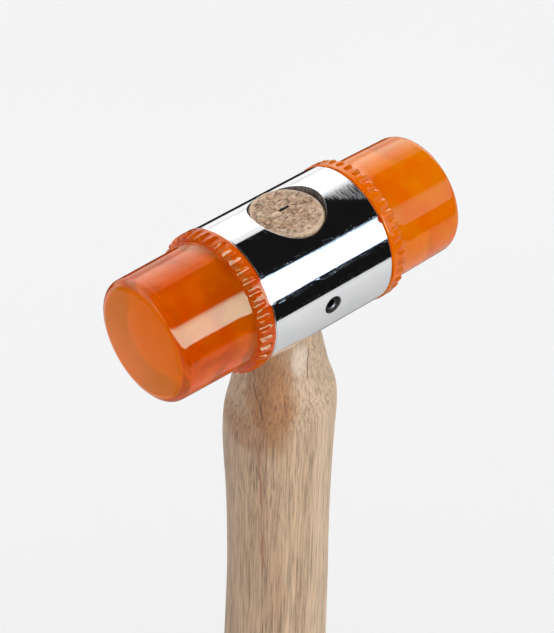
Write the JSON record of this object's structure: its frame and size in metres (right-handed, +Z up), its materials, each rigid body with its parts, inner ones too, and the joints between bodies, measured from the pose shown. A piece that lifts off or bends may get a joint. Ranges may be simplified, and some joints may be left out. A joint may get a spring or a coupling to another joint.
{
  "type": "soft face mallet",
  "caption": "Soft-face mallet: chrome-plated tube head with screw-in translucent amber plastic faces on a turned wooden handle.",
  "frame": {"origin": "middle of the handle's butt, with the mallet standing upright on it", "axes": "+Z up the handle to the head, X along the head through both striking faces, the grub screw on the -Y side"},
  "size_m": [0.0988, 0.0406, 0.3053],
  "materials": {
    "chrome": "bright chrome plate over turned steel, with fine round scratches",
    "amber_plastic": "clear amber cellulose-type moulding, polished",
    "wood": "light open-pored hardwood, thin clear finish, end grain bare",
    "black_steel": "black oxide"
  },
  "bodies": {
    "root": {"head_body": "chrome", "handle": "wood"},
    "near_face": {"near_face": "amber_plastic"},
    "far_face": {"far_face": "amber_plastic"},
    "grub_screw": {"grub_screw": "black_steel"}
  },
  "joints": [
    {"name": "near_face_unscrew", "type": "slide", "parent": "root", "child": "near_face", "axis": [-1, 0, 0], "range_m": [0, 0.016]},
    {"name": "far_face_unscrew", "type": "slide", "parent": "root", "child": "far_face", "axis": [1, 0, 0], "range_m": [0, 0.016]},
    {"name": "grub_screw_unscrew", "type": "slide", "parent": "root", "child": "grub_screw", "axis": [0, -1, 0], "range_m": [0, 0.0125]}
  ]
}
